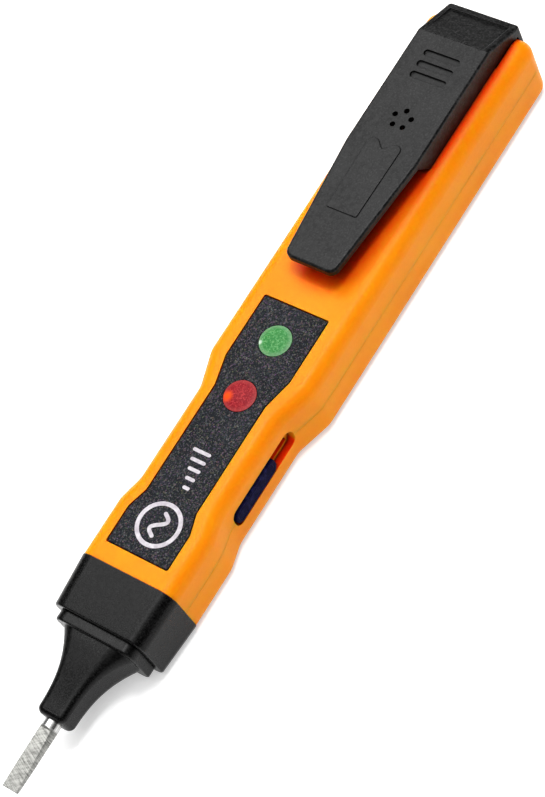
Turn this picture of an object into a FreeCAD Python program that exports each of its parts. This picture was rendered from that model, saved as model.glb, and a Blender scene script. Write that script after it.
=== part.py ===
import FreeCAD
import Part
import math
import os

# Pen-shaped non-contact voltage tester, in millimetres.
# +X runs from the blade tip to the rear end, +Z comes out of the label face, and the switch is on -Y.
# The origin is under the middle of the tester, on the flat back that it lies on.

Vector = FreeCAD.Vector

# Overall
OVERALL_LENGTH = 150.0
SEAM_FROM_TIP = 37.35
SEAM_X = SEAM_FROM_TIP - OVERALL_LENGTH / 2
CLEARANCE = 0.05
THROUGH = 40.0

# Housing: two half shells that part at mid depth
BODY_DEPTH = 13.0
PARTING_Z = 6.5
FRONT_HALF_WIDTH = 9.45
WAIST_HALF_WIDTH = 8.3
REAR_HALF_WIDTH = 10.4
WAIST_IN = (10.9, 15.2)
WAIST_OUT = (33.2, 39.7)
WAIST_CORNER = 5.0
REAR_BOTTOM = 111.4
REAR_TOP = 111.7
REAR_CORNER = 2.6
TOP_EDGE_R = 2.6
BACK_EDGE_R = 2.0
SIDE_WALL = 1.3
BACK_WALL = 1.2
TOP_WALL = 1.4
CAVITY_FRONT = 0.5
CAVITY_REAR = 109.3

# Spigot of the housing, inside the nose collar
SPIGOT_LENGTH = 7.8
SPIGOT_HALF_WIDTH = 7.9
SPIGOT_HALF_DEPTH = 5.1
SPIGOT_CORNER = 1.6
SPIGOT_WALL = 1.1

# Nose collar and nose cone
COLLAR_LENGTH = 9.25
COLLAR_REAR = (9.55, 0.0, 13.2)
COLLAR_FRONT = (9.1, 0.3, 12.7)
COLLAR_CORNER = (2.0, 2.8)
COLLAR_WINDOW = (6.1, 3.7)
COLLAR_EDGE_R = 0.35
FLANGE_LENGTH = 1.85
FLANGE_HALF_WIDTH = 7.95
FLANGE_HALF_DEPTH = 5.05
FLANGE_CORNER = (1.7, 2.2)
FLANGE_EDGE_R = 0.3
PLUG_LENGTH = 6.0
PLUG_WALL = 1.2
CONE_START = -11.1
CONE_END = -24.95
CONE_ROOT = (6.9, 4.4, 3.2)
CONE_TIP = (2.8, 2.75, 1.3)
CONE_STATIONS = 13
CONE_END_R = 1.15

# Test blade
BLADE_R = 1.5
BLADE_FIT = 0.02
BLADE_REAR = -5.0
BLADE_HEAD = (2.3, 1.2)
FLAT_START = -26.2
FLAT_SHOULDER = 0.35
FLAT_HALF_ROOT = 1.12
FLAT_HALF_TIP = 0.3

# Label, let into the top face
LABEL_START = 3.25
LABEL_END = 51.8
LABEL_THICKNESS = 0.5
LABEL_FRONT_HALF = 6.3
LABEL_WAIST_HALF = 5.15
LABEL_REAR_HALF = 6.5
LABEL_IN = (10.0, 13.6)
LABEL_OUT = (34.2, 39.6)
LABEL_CORNER = 1.6
LABEL_END_CORNER = 0.35
LABEL_GAP = 0.18

# Indicator windows and their LEDs
RED_X = 34.2
GREEN_X = 45.1
LENS_R = 2.85
LENS_RISE = 0.35
LENS_FLANGE_R = 3.5
LENS_FLANGE = 0.5
LENS_BOTTOM = 11.0
LED_R = 1.5
LED_BASE_Z = 7.6
LED_TOP_Z = 10.8
LEAD_PITCH = 2.54
LEAD_HALF = 0.25

# Switch pocket in the -Y side of the waist, and the knob in it
POCKET = (16.55, 33.95)
POCKET_HALF_HEIGHT = 2.0
POCKET_FLOOR_Y = -7.0
POCKET_BOSS_Y = -6.0
KNOB_START = 16.7
KNOB_LENGTH = 12.1
KNOB_HALF_HEIGHT = 1.9
KNOB_FACE_Y = -8.5
KNOB_END_R = 1.5
KNOB_EDGE_R = 0.3
KNOB_TRAVEL = 5.0
STEM_X = 22.75
STEM_HALF = (0.95, 0.9)
STEM_SOCKET_HALF = (0.7, 0.65)
STEM_SLOT_GAP = 0.1
STEM_SLOT_END = 33.1
STEM_SLOT_HALF_HEIGHT = 1.3
KEEPER_HALF = (1.85, 1.7)
KEEPER_Y = (-5.9, -5.5)
LEVER_HALF = (0.65, 0.6)
LEVER_BLOCK_HALF = (2.2, 1.4)

# Circuit board
BOARD_Z = (3.1, 4.1)
BOARD_X = (3.0, 91.2)
BOARD_HALF_WIDTH = 5.6
BOARD_CORNER = 1.0
SWITCH_HALF_LENGTH = 6.0
SWITCH_Y = (-5.35, -1.35)
SWITCH_HALF_HEIGHT = 2.0
SWITCH_CAN = 0.3
TERMINAL_PITCH = 3.0
CHIP_X = 56.5
CHIP_SIZE = (5.0, 3.9, 1.5)
CHIP_PIN_PITCH = 1.27
RESISTOR_X = (12.0, 19.0)
RESISTOR_Y = 2.2
RESISTOR_R = 1.2
CAPACITOR_SIZE = (2.0, 1.25, 0.9)
CAPACITOR_SPOTS = ((28.0, 2.6), (39.5, -3.2), (50.0, 3.0), (63.0, -2.5), (76.0, 2.8))
BUZZER_R = 3.9
BUZZER_HEIGHT = 5.5

# Screws that hold the shells together, driven from the back
SCREW_STATIONS = (9.0, 68.0)
SCREW_HEAD_R = 1.8
SCREW_HEAD_Z = (0.35, 1.45)
SCREW_SHANK_R = 1.0
SCREW_TOP_Z = 10.2
SCREW_TIP_GAP = 0.4
SCREW_HEAD_ROUND = 0.4
CROSS_HALF = (1.1, 0.22)
CROSS_DEPTH = 0.6
BOSS_R = 2.3
BOARD_HOLE_R = 2.5
RIB_STATIONS = (16.0, 46.0, 80.0)
RIB_THICKNESS = 1.2

# Button cells and their contacts
CELL_R = 5.8
CELL_THICKNESS = 5.4
CELL_COUNT = 3
CELL_CENTRE_Z = 7.05
CELL_REAR = 108.95
CELL_STEP = 0.5
CRADLE_Y = (5.95, 6.95)
PLATE_THICKNESS = 0.3
CONTACT_HALF_WIDTH = 3.6
CONTACT_Z = (3.0, 10.2)

# Battery cover and pocket clip
TOP_Z = 17.7
COVER_HALF_WIDTH = 7.05
COVER_ROOT = (80.65, 83.0)
COVER_FOLD = 104.15
COVER_REAR = 112.65
COVER_REAR_TOP_Z = 13.85
COVER_REAR_LOW_Z = 9.85
COVER_WALL = 1.2
COVER_EDGE_R = 0.5
COVER_REAR_CORNER = 0.7
COVER_GAP = 0.06
SKIRT_STEP = 104.15
SKIRT_DEPTH = 0.6
REAR_NOTCH = 111.3
OPENING_START = 85.6
OPENING_HALF_WIDTH = 5.75
RUNNER_X = (86.4, 100.0)
RUNNER_Y = (4.75, 5.65)
RUNNER_LIP_Y = 6.8
RUNNER_LIP_Z = (10.7, 11.5)
RUNNER_GAP = 0.1
HOLE_RING_X = 87.4
HOLE_RING_R = 1.68
HOLE_R = 0.48
HOLE_COUNT = 5
GRIP_STATIONS = (95.85, 98.1, 100.35)
GRIP_HALF_LENGTH = 3.5
GRIP_HALF_WIDTH = 0.62
GRIP_DEPTH = 0.4
GRIP_CHAMFER = 0.12
INSET_RUN = (0.15, 7.9)
INSET_DEPTH = (0.02, 0.25)
INSET_HALF_WIDTH = 5.9
CLIP_TIP = 57.75
CLIP_TIP_HALF_WIDTH = 4.95
CLIP_THICKNESS = 1.4
CLIP_TIP_CORNER = 1.6
CLIP_ROOT_CORNER = 12.0
CLIP_GAP = 0.12
CLIP_BUMP_X = 61.0
CLIP_BUMP_HEIGHT = 1.3
CLIP_BUMP_HALF_LENGTH = 2.2
CLIP_BUMP_INSET = 1.2
PAD_FRONT = (68.2, 3.0)
PAD_SHOULDER = (82.95, 3.25)
PAD_CREST = (82.5, 1.5)
PAD_NOTCH = 81.1
PAD_RISE = 0.2
PAD_BEVEL = 0.06
PAD_CORNER = 0.4
PAD_CREST_R = 1.0


def at(distance):
    """X of a station measured from the seam between nose collar and housing."""
    return SEAM_X + distance


def box(x_range, y_range, z_range):
    """Box from its ranges along X, measured from the seam, and along Y and Z."""
    size = [high - low for low, high in (x_range, y_range, z_range)]
    return Part.makeBox(*size, Vector(at(x_range[0]), y_range[0], z_range[0]))


def rod(radius, x_range, y=0.0, z=PARTING_Z):
    """Cylinder along X."""
    length = x_range[1] - x_range[0]
    return Part.makeCylinder(radius, length, Vector(at(x_range[0]), y, z), Vector(1, 0, 0))


def post(radius, x, y, z_range):
    """Cylinder along Z."""
    return Part.makeCylinder(radius, z_range[1] - z_range[0], Vector(at(x), y, z_range[0]))


def rounded_wire(points, radii, place):
    """Closed wire through flat points with arcs of the given radii at its corners."""
    ends = []
    for index, corner in enumerate(points):
        here = Vector(*corner, 0)
        back = (Vector(*points[index - 1], 0) - here).normalize()
        ahead = (Vector(*points[(index + 1) % len(points)], 0) - here).normalize()
        radius = radii[index]
        if radius == 0:
            ends.append((here, None, here))
            continue
        half_angle = back.getAngle(ahead) / 2
        reach = radius / math.tan(half_angle)
        middle = (back + ahead).normalize() * (radius / math.sin(half_angle) - radius)
        ends.append((here + back * reach, here + middle, here + ahead * reach))
    edges = []
    for index, (start, middle, end) in enumerate(ends):
        if middle is not None:
            edges.append(Part.Arc(place(start), place(middle), place(end)).toShape())
        following = ends[(index + 1) % len(ends)][0]
        edges.append(Part.LineSegment(place(end), place(following)).toShape())
    return Part.Wire(edges)


def plan_wire(points, radii, z):
    """Rounded wire in a level plane, with X measured from the seam."""
    return rounded_wire(points, radii, lambda p: Vector(at(p.x), p.y, z))


def section_wire(x, half_width, z_range, radii):
    """Rounded rectangle across the tester, with one radius for its low corners and one for its high ones."""
    low_z, high_z = z_range
    low_r, high_r = radii
    corners = [(-half_width, low_z), (half_width, low_z), (half_width, high_z), (-half_width, high_z)]
    return rounded_wire(corners, [low_r, low_r, high_r, high_r], lambda p: Vector(at(x), p.x, p.y))


def level_plate(points, radii, z_range):
    """Plate of a rounded outline between two heights."""
    face = Part.Face(plan_wire(points, radii, z_range[0]))
    return face.extrude(Vector(0, 0, z_range[1] - z_range[0]))


def mirrored(points):
    """Outline completed by its mirror image across the tester's middle plane."""
    return points + [(x, -y) for x, y in reversed(points)]


def profile_bar(points, half_width):
    """Bar across the tester with a side profile given as (distance from the seam, z)."""
    corners = [Vector(at(x), -half_width, z) for x, z in points]
    face = Part.Face(Part.makePolygon(corners + corners[:1]))
    return face.extrude(Vector(0, 2 * half_width, 0))


def edges_at_height(shape, z):
    """Level edges of a shape at one height."""
    return [e for e in shape.Edges if abs(e.BoundBox.ZMin - z) < 1e-4 and abs(e.BoundBox.ZMax - z) < 1e-4]


def one(shape):
    """The shape's only solid, with split faces joined."""
    clean = shape.removeSplitter()
    if len(clean.Solids) != 1:
        raise ValueError("expected one solid, got %d" % len(clean.Solids))
    return clean.Solids[0]


def housing_outline(rear, inset=0.0, front=0.0):
    """Plan of the housing: a slightly narrow front, a grip waist and a wide rear."""
    half = [
        (front, -(FRONT_HALF_WIDTH - inset)),
        (WAIST_IN[0], -(FRONT_HALF_WIDTH - inset)),
        (WAIST_IN[1], -(WAIST_HALF_WIDTH - inset)),
        (WAIST_OUT[0], -(WAIST_HALF_WIDTH - inset)),
        (WAIST_OUT[1], -(REAR_HALF_WIDTH - inset)),
        (rear, -(REAR_HALF_WIDTH - inset)),
    ]
    return mirrored(half)


def housing_radii(rear_corner):
    """Corner radii that go with housing_outline."""
    half = [0.0] + [WAIST_CORNER] * 4 + [rear_corner]
    return half + half[::-1]


def housing_block():
    """Solid outer form of the housing, with rounded long edges and a leaning rear end."""
    radii = housing_radii(REAR_CORNER)
    low = plan_wire(housing_outline(REAR_BOTTOM), radii, 0.0)
    high = plan_wire(housing_outline(REAR_TOP), radii, BODY_DEPTH)
    block = Part.makeLoft([low, high], True, True)
    for height, radius in ((BODY_DEPTH, TOP_EDGE_R), (0.0, BACK_EDGE_R)):
        edges = [e for e in edges_at_height(block, height) if e.BoundBox.XMax > SEAM_X + CLEARANCE]
        block = block.makeFillet(radius, edges)
    return block


def spigot(inset):
    """Front spigot of the housing, or the space inside it."""
    wire = section_wire(
        -SPIGOT_LENGTH,
        SPIGOT_HALF_WIDTH - inset,
        (PARTING_Z - SPIGOT_HALF_DEPTH + inset, PARTING_Z + SPIGOT_HALF_DEPTH - inset),
        [SPIGOT_CORNER - inset / 2] * 2,
    )
    length = SPIGOT_LENGTH + CAVITY_FRONT
    return Part.Face(wire).extrude(Vector(length, 0, 0))


def housing_cavity():
    """Space inside the housing, with the boss behind the switch pocket left solid."""
    radii = housing_radii(SIDE_WALL)
    outline = housing_outline(CAVITY_REAR, SIDE_WALL, CAVITY_FRONT)
    cavity = level_plate(outline, radii, (BACK_WALL, BODY_DEPTH - TOP_WALL))
    boss_x = (POCKET[0] - SIDE_WALL, POCKET[1] + SIDE_WALL)
    boss_half = POCKET_HALF_HEIGHT + SIDE_WALL
    boss = box(boss_x, (-WAIST_HALF_WIDTH, POCKET_BOSS_Y), (PARTING_Z - boss_half, PARTING_Z + boss_half))
    return cavity.cut(boss).fuse(spigot(SPIGOT_WALL))


def switch_pocket():
    """Pocket that the knob slides in, and the slot in its floor for the knob's stem."""
    front, rear = POCKET
    low, high = PARTING_Z - POCKET_HALF_HEIGHT, PARTING_Z + POCKET_HALF_HEIGHT
    corners = [(front, low), (rear, low), (rear, high), (front, high)]
    wire = rounded_wire(
        corners, [KNOB_END_R] * 4, lambda p: Vector(at(p.x), POCKET_FLOOR_Y, p.y)
    )
    pocket = Part.Face(wire).extrude(Vector(0, -REAR_HALF_WIDTH, 0))
    slot_x = (STEM_X - STEM_HALF[0] - STEM_SLOT_GAP, STEM_SLOT_END)
    slot_z = (PARTING_Z - STEM_SLOT_HALF_HEIGHT, PARTING_Z + STEM_SLOT_HALF_HEIGHT)
    slot = box(slot_x, (POCKET_FLOOR_Y - 1, POCKET_BOSS_Y + 1), slot_z)
    return pocket.fuse(slot)


def label_outline(grow):
    """Plan of the label's pocket, or of the label itself when shrunk by its gap."""
    half = [
        (LABEL_START - grow, -(LABEL_FRONT_HALF + grow)),
        (LABEL_IN[0], -(LABEL_FRONT_HALF + grow)),
        (LABEL_IN[1], -(LABEL_WAIST_HALF + grow)),
        (LABEL_OUT[0], -(LABEL_WAIST_HALF + grow)),
        (LABEL_OUT[1], -(LABEL_REAR_HALF + grow)),
        (LABEL_END + grow, -(LABEL_REAR_HALF + grow)),
    ]
    half_radii = [LABEL_END_CORNER] + [LABEL_CORNER] * 4 + [LABEL_END_CORNER]
    return mirrored(half), half_radii + half_radii[::-1]


def cover_opening():
    """Everything taken out of the housing to seat the battery cover and let it slide off."""
    far = COVER_REAR + 1
    high = BODY_DEPTH + 1
    side = COVER_HALF_WIDTH + COVER_GAP + CLEARANCE
    lip_side = RUNNER_LIP_Y + RUNNER_GAP
    lip_z = (RUNNER_LIP_Z[0] - RUNNER_GAP, BODY_DEPTH - TOP_WALL)
    hatch = box((OPENING_START, far), (-OPENING_HALF_WIDTH, OPENING_HALF_WIDTH), (lip_z[0], high))
    channel = box((CAVITY_REAR - 1, far), (-lip_side, lip_side), lip_z)
    step = box((SKIRT_STEP - COVER_GAP, far), (-side, side), (BODY_DEPTH - SKIRT_DEPTH, high))
    notch = box((REAR_NOTCH, far), (-side, side), (COVER_REAR_LOW_Z - COVER_GAP, high))
    return hatch.fuse([channel, step, notch])


def half_shell(z_range):
    """One half of the hollow housing."""
    reach = (-SPIGOT_LENGTH - 1, COVER_REAR)
    half = box(reach, (-THROUGH, THROUGH), z_range)
    whole = housing_block().fuse(spigot(0.0)).cut(housing_cavity())
    return whole.cut(switch_pocket()).cut(cover_opening()).common(half)


def front_shell():
    """Label-side half, with the label pocket, window holes and screw posts."""
    shell = half_shell((PARTING_Z, BODY_DEPTH))
    posts = [post(BOSS_R, x, 0, (PARTING_Z, BODY_DEPTH - TOP_WALL)) for x in SCREW_STATIONS]
    shell = shell.fuse(posts)
    outline, radii = label_outline(0.0)
    cuts = [level_plate(outline, radii, (BODY_DEPTH - LABEL_THICKNESS, BODY_DEPTH + 1))]
    cuts += [post(LENS_R + CLEARANCE, x, 0, (PARTING_Z, BODY_DEPTH)) for x in (RED_X, GREEN_X)]
    cuts += [post(SCREW_SHANK_R, x, 0, (PARTING_Z, SCREW_TOP_Z)) for x in SCREW_STATIONS]
    return one(shell.cut(cuts))


def back_shell():
    """Back half, with screw bosses, ribs under the board and the cradle for the cells."""
    shell = half_shell((0.0, PARTING_Z))
    floor = BACK_WALL
    added = [post(BOSS_R, x, 0, (floor, PARTING_Z)) for x in SCREW_STATIONS]
    for x in RIB_STATIONS:
        reach = BOARD_HALF_WIDTH
        added.append(box((x, x + RIB_THICKNESS), (-reach, reach), (floor, BOARD_Z[0])))
    cell_front = CELL_REAR - CELL_COUNT * CELL_THICKNESS
    for side in (-1, 1):
        y_range = sorted((side * CRADLE_Y[0], side * CRADLE_Y[1]))
        added.append(box((cell_front, CAVITY_REAR), y_range, (floor, PARTING_Z)))
    shell = shell.fuse(added)
    cuts = [post(SCREW_HEAD_R + CLEARANCE, x, 0, (-1.0, SCREW_HEAD_Z[1])) for x in SCREW_STATIONS]
    cuts += [post(SCREW_SHANK_R, x, 0, (0.0, PARTING_Z)) for x in SCREW_STATIONS]
    return one(shell.cut(cuts))


def label_plate():
    """Thin label let into the top face, with two round window holes."""
    outline, radii = label_outline(-LABEL_GAP)
    plate = level_plate(outline, radii, (BODY_DEPTH - LABEL_THICKNESS, BODY_DEPTH))
    holes = [post(LENS_R + CLEARANCE, x, 0, (PARTING_Z, THROUGH)) for x in (RED_X, GREEN_X)]
    return one(plate.cut(holes))


def indicator_lens(x):
    """Round window: a flanged disc with a low dome."""
    stem = post(LENS_R, x, 0, (LENS_BOTTOM, BODY_DEPTH))
    flange = post(LENS_FLANGE_R, x, 0, (LENS_BOTTOM, LENS_BOTTOM + LENS_FLANGE))
    dome_r = (LENS_R**2 + LENS_RISE**2) / (2 * LENS_RISE)
    ball = Part.makeSphere(dome_r, Vector(at(x), 0, BODY_DEPTH + LENS_RISE - dome_r))
    dome = ball.common(post(LENS_R, x, 0, (BODY_DEPTH - CLEARANCE, BODY_DEPTH + 1)))
    return one(stem.fuse([flange, dome]))


def led(x):
    """Small round-topped LED under a window."""
    body = post(LED_R, x, 0, (LED_BASE_Z, LED_TOP_Z - LED_R))
    dome = Part.makeSphere(LED_R, Vector(at(x), 0, LED_TOP_Z - LED_R))
    rim = post(LED_R + 0.3, x, 0, (LED_BASE_Z, LED_BASE_Z + 0.8))
    return one(body.fuse([dome, rim]))


def lead_spots():
    """Centres of the LED leads."""
    return [(x, side * LEAD_PITCH / 2) for x in (RED_X, GREEN_X) for side in (-1, 1)]


def led_leads():
    """Four square leads from the LEDs through the board."""
    half = LEAD_HALF
    low = BOARD_Z[0] - 0.8
    return Part.makeCompound(
        [box((x - half, x + half), (y - half, y + half), (low, LED_BASE_Z)) for x, y in lead_spots()]
    )


def nose_collar():
    """Sleeve over the spigot, with a window in its front wall for the nose cone's plug."""
    rear = section_wire(0.0, COLLAR_REAR[0], COLLAR_REAR[1:], COLLAR_CORNER)
    front = section_wire(-COLLAR_LENGTH, COLLAR_FRONT[0], COLLAR_FRONT[1:], COLLAR_CORNER)
    collar = Part.makeLoft([front, rear], True, True)
    front_edges = [e for e in collar.Edges if e.BoundBox.XMax < at(-COLLAR_LENGTH) + CLEARANCE]
    collar = collar.makeFillet(COLLAR_EDGE_R, front_edges)
    seat = section_wire(
        -SPIGOT_LENGTH - CLEARANCE,
        SPIGOT_HALF_WIDTH + CLEARANCE,
        (PARTING_Z - SPIGOT_HALF_DEPTH - CLEARANCE, PARTING_Z + SPIGOT_HALF_DEPTH + CLEARANCE),
        [SPIGOT_CORNER] * 2,
    )
    inside = Part.Face(seat).extrude(Vector(THROUGH, 0, 0))
    half_width, half_depth = COLLAR_WINDOW
    depth = (PARTING_Z - half_depth, PARTING_Z + half_depth)
    window = box((-COLLAR_LENGTH - 1, 0), (-half_width, half_width), depth)
    return one(collar.cut([inside, window]))


def cone_section(share):
    """Cross-section of the nose cone at a share of its length from the root."""
    left = 1 - share
    half_width = CONE_TIP[0] + (CONE_ROOT[0] - CONE_TIP[0]) * left**3
    half_depth = CONE_TIP[1] + (CONE_ROOT[1] - CONE_TIP[1]) * left**2
    radius = CONE_TIP[2] + (CONE_ROOT[2] - CONE_TIP[2]) * left**4
    x = CONE_START + (CONE_END - CONE_START) * share
    return section_wire(x, half_width, (PARTING_Z - half_depth, PARTING_Z + half_depth), [radius] * 2)


def nose_cone():
    """Flared nose with a stepped flange and a hollow plug that sits in the collar."""
    sections = [cone_section(step / (CONE_STATIONS - 1)) for step in range(CONE_STATIONS)]
    flare = Part.makeLoft(sections, True, False)
    end_edges = [e for e in flare.Edges if e.BoundBox.XMax < at(CONE_END) + CLEARANCE]
    flare = flare.makeFillet(CONE_END_R, end_edges)
    flange_z = (PARTING_Z - FLANGE_HALF_DEPTH, PARTING_Z + FLANGE_HALF_DEPTH)
    flange_wire = section_wire(CONE_START, FLANGE_HALF_WIDTH, flange_z, FLANGE_CORNER)
    flange = Part.Face(flange_wire).extrude(Vector(FLANGE_LENGTH, 0, 0))
    rim = [e for e in flange.Edges if e.BoundBox.XMax < at(CONE_START) + CLEARANCE]
    flange = flange.makeFillet(FLANGE_EDGE_R, rim)
    half_width = COLLAR_WINDOW[0] - CLEARANCE
    half_depth = COLLAR_WINDOW[1] - CLEARANCE
    plug_x = (-COLLAR_LENGTH, -COLLAR_LENGTH + PLUG_LENGTH)
    plug = box(plug_x, (-half_width, half_width), (PARTING_Z - half_depth, PARTING_Z + half_depth))
    hollow_y = half_width - PLUG_WALL
    hollow_z = half_depth - PLUG_WALL
    hollow_x = (BLADE_REAR - BLADE_HEAD[1], plug_x[1] + 1)
    hollow = box(hollow_x, (-hollow_y, hollow_y), (PARTING_Z - hollow_z, PARTING_Z + hollow_z))
    bore = rod(BLADE_R + BLADE_FIT, (CONE_END - 1, plug_x[1]))
    return one(flare.fuse([flange, plug]).cut([hollow, bore]))


def test_blade():
    """Round steel shaft with a flat driver end and a head that keeps it in the nose."""
    tip = -SEAM_FROM_TIP
    shaft = rod(BLADE_R, (tip, BLADE_REAR - BLADE_HEAD[1]))
    head = rod(BLADE_HEAD[0], (BLADE_REAR - BLADE_HEAD[1], BLADE_REAR))
    cuts = []
    for side in (-1, 1):
        profile = [
            (tip - 1, PARTING_Z + side * FLAT_HALF_TIP),
            (tip, PARTING_Z + side * FLAT_HALF_TIP),
            (FLAT_START - FLAT_SHOULDER, PARTING_Z + side * FLAT_HALF_ROOT),
            (FLAT_START, PARTING_Z + side * (BLADE_R + CLEARANCE)),
            (tip - 1, PARTING_Z + side * (BLADE_R + CLEARANCE)),
        ]
        cuts.append(profile_bar(profile, BLADE_R + 1))
    return one(shaft.fuse(head).cut(cuts))


def blade_contact_leaf():
    """Bent strip that stands on the board and presses on the head of the blade."""
    top = PARTING_Z + 1.2
    points = [
        (BOARD_X[0] + 0.2, BOARD_Z[1]),
        (BOARD_X[0] + 3.2, BOARD_Z[1]),
        (BOARD_X[0] + 3.2, BOARD_Z[1] + PLATE_THICKNESS),
        (BOARD_X[0] + 0.5, BOARD_Z[1] + PLATE_THICKNESS),
        (BLADE_REAR + PLATE_THICKNESS + 0.2, PARTING_Z + 0.2),
        (BLADE_REAR + PLATE_THICKNESS, top),
        (BLADE_REAR, top),
        (BLADE_REAR, PARTING_Z),
    ]
    return one(profile_bar(points, 1.2))


def circuit_board():
    """Board with clearance holes round the screw posts and for the LED leads."""
    half = [(BOARD_X[0], -BOARD_HALF_WIDTH), (BOARD_X[1], -BOARD_HALF_WIDTH)]
    board = level_plate(mirrored(half), [BOARD_CORNER] * 4, BOARD_Z)
    cuts = [post(BOARD_HOLE_R, x, 0, BOARD_Z) for x in SCREW_STATIONS]
    cuts += [post(LEAD_HALF * 2, x, y, BOARD_Z) for x, y in lead_spots()]
    cuts += [post(0.6, x, y, BOARD_Z) for x, y in terminal_spots() + buzzer_pin_spots()]
    return one(board.cut(cuts))


def switch_centre():
    """Distance of the slide switch's middle from the seam."""
    return STEM_X + KNOB_TRAVEL / 2


def terminal_spots():
    """Centres of the switch's three terminals."""
    middle_y = (SWITCH_Y[0] + SWITCH_Y[1]) / 2
    return [(switch_centre() + step * TERMINAL_PITCH, middle_y) for step in (-1, 0, 1)]


def buzzer_pin_spots():
    """Centres of the buzzer's two pins."""
    return [(HOLE_RING_X, side * LEAD_PITCH) for side in (-1, 1)]


def pins(spots, top):
    """Round pins from under the board up to the part they carry."""
    return Part.makeCompound([post(0.35, x, y, (BOARD_Z[0] - 0.8, top)) for x, y in spots])


def switch_frame():
    """Folded metal can of the slide switch, open below, with a slot for its lever."""
    x_range = (switch_centre() - SWITCH_HALF_LENGTH, switch_centre() + SWITCH_HALF_LENGTH)
    low = PARTING_Z - SWITCH_HALF_HEIGHT + SWITCH_CAN
    high = PARTING_Z + SWITCH_HALF_HEIGHT
    can = box(x_range, SWITCH_Y, (low, high))
    inner_x = (x_range[0] + SWITCH_CAN, x_range[1] - SWITCH_CAN)
    inner_y = (SWITCH_Y[0] + SWITCH_CAN, SWITCH_Y[1] - SWITCH_CAN)
    inside = box(inner_x, inner_y, (low - 1, high - SWITCH_CAN))
    reach = LEVER_HALF[0] + KNOB_TRAVEL / 2 + STEM_SLOT_GAP
    slot_half = LEVER_HALF[1] + STEM_SLOT_GAP
    slot_x = (switch_centre() - reach, switch_centre() + reach)
    slot = box(slot_x, (SWITCH_Y[0] - 1, inner_y[0] + 0.1), (PARTING_Z - slot_half, PARTING_Z + slot_half))
    return one(can.cut([inside, slot]))


def switch_base():
    """Insulating base that closes the can and stands on the board."""
    x_range = (switch_centre() - SWITCH_HALF_LENGTH, switch_centre() + SWITCH_HALF_LENGTH)
    top = PARTING_Z - SWITCH_HALF_HEIGHT + SWITCH_CAN
    return box(x_range, SWITCH_Y, (BOARD_Z[1], top))


def switch_lever():
    """Contact carrier inside the can, with the lever that reaches into the knob."""
    half_x, half_z = LEVER_HALF
    lever = box(
        (STEM_X - half_x, STEM_X + half_x),
        (POCKET_FLOOR_Y - 0.4, SWITCH_Y[0] + 1),
        (PARTING_Z - half_z, PARTING_Z + half_z),
    )
    block_x, block_z = LEVER_BLOCK_HALF
    block = box(
        (STEM_X - block_x, STEM_X + block_x),
        (SWITCH_Y[0] + SWITCH_CAN + 0.1, SWITCH_Y[1] - SWITCH_CAN - 0.1),
        (PARTING_Z - block_z, PARTING_Z + block_z),
    )
    return one(lever.fuse(block))


def switch_knob():
    """Thumb slider: a round-ended block in the pocket, its stem and an inner keeper plate."""
    front, rear = KNOB_START, KNOB_START + KNOB_LENGTH
    low, high = PARTING_Z - KNOB_HALF_HEIGHT, PARTING_Z + KNOB_HALF_HEIGHT
    corners = [(front, low), (rear, low), (rear, high), (front, high)]
    wire = rounded_wire(
        corners, [KNOB_END_R] * 4, lambda p: Vector(at(p.x), POCKET_FLOOR_Y - CLEARANCE, p.y)
    )
    block = Part.Face(wire).extrude(Vector(0, KNOB_FACE_Y - POCKET_FLOOR_Y + CLEARANCE, 0))
    face_edges = [e for e in block.Edges if e.BoundBox.YMax < KNOB_FACE_Y + CLEARANCE]
    block = block.makeFillet(KNOB_EDGE_R, face_edges)
    parts = []
    for (half_x, half_z), y_range in (
        (STEM_HALF, (POCKET_FLOOR_Y - CLEARANCE * 2, KEEPER_Y[1])),
        (KEEPER_HALF, KEEPER_Y),
    ):
        z_range = (PARTING_Z - half_z, PARTING_Z + half_z)
        parts.append(box((STEM_X - half_x, STEM_X + half_x), y_range, z_range))
    half_x, half_z = STEM_SOCKET_HALF
    socket = box(
        (STEM_X - half_x, STEM_X + half_x),
        (POCKET_FLOOR_Y - 0.5, KEEPER_Y[1] + 1),
        (PARTING_Z - half_z, PARTING_Z + half_z),
    )
    return one(block.fuse(parts).cut(socket))


def control_chip():
    """Eight-pin chip on the board."""
    length, width, height = CHIP_SIZE
    floor = BOARD_Z[1]
    body = box(
        (CHIP_X - length / 2, CHIP_X + length / 2), (-width / 2, width / 2), (floor + 0.15, floor + height)
    )
    legs = []
    for index in range(4):
        x = CHIP_X + (index - 1.5) * CHIP_PIN_PITCH
        legs.append(box((x - 0.2, x + 0.2), (-width / 2 - 1, width / 2 + 1), (floor, floor + 0.25)))
    return one(body.fuse(legs))


def safety_resistor():
    """High-value resistor in line with the blade, with bent leads into the board."""
    half = LEAD_HALF
    centre_z = BOARD_Z[1] + RESISTOR_R + 0.2
    lead_x = (RESISTOR_X[0] - 1.5, RESISTOR_X[1] + 1.5)
    y_range = (RESISTOR_Y - half, RESISTOR_Y + half)
    parts = [box(lead_x, y_range, (centre_z - half, centre_z + half))]
    for x in lead_x:
        parts.append(box((x - half, x + half), y_range, (BOARD_Z[1], centre_z + half)))
    return one(rod(RESISTOR_R, RESISTOR_X, RESISTOR_Y, centre_z).fuse(parts))


def ceramic_capacitors():
    """Small surface-mount parts on the board."""
    length, width, height = CAPACITOR_SIZE
    floor = BOARD_Z[1]
    return Part.makeCompound(
        [
            box((x - length / 2, x + length / 2), (y - width / 2, y + width / 2), (floor, floor + height))
            for x, y in CAPACITOR_SPOTS
        ]
    )


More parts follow.
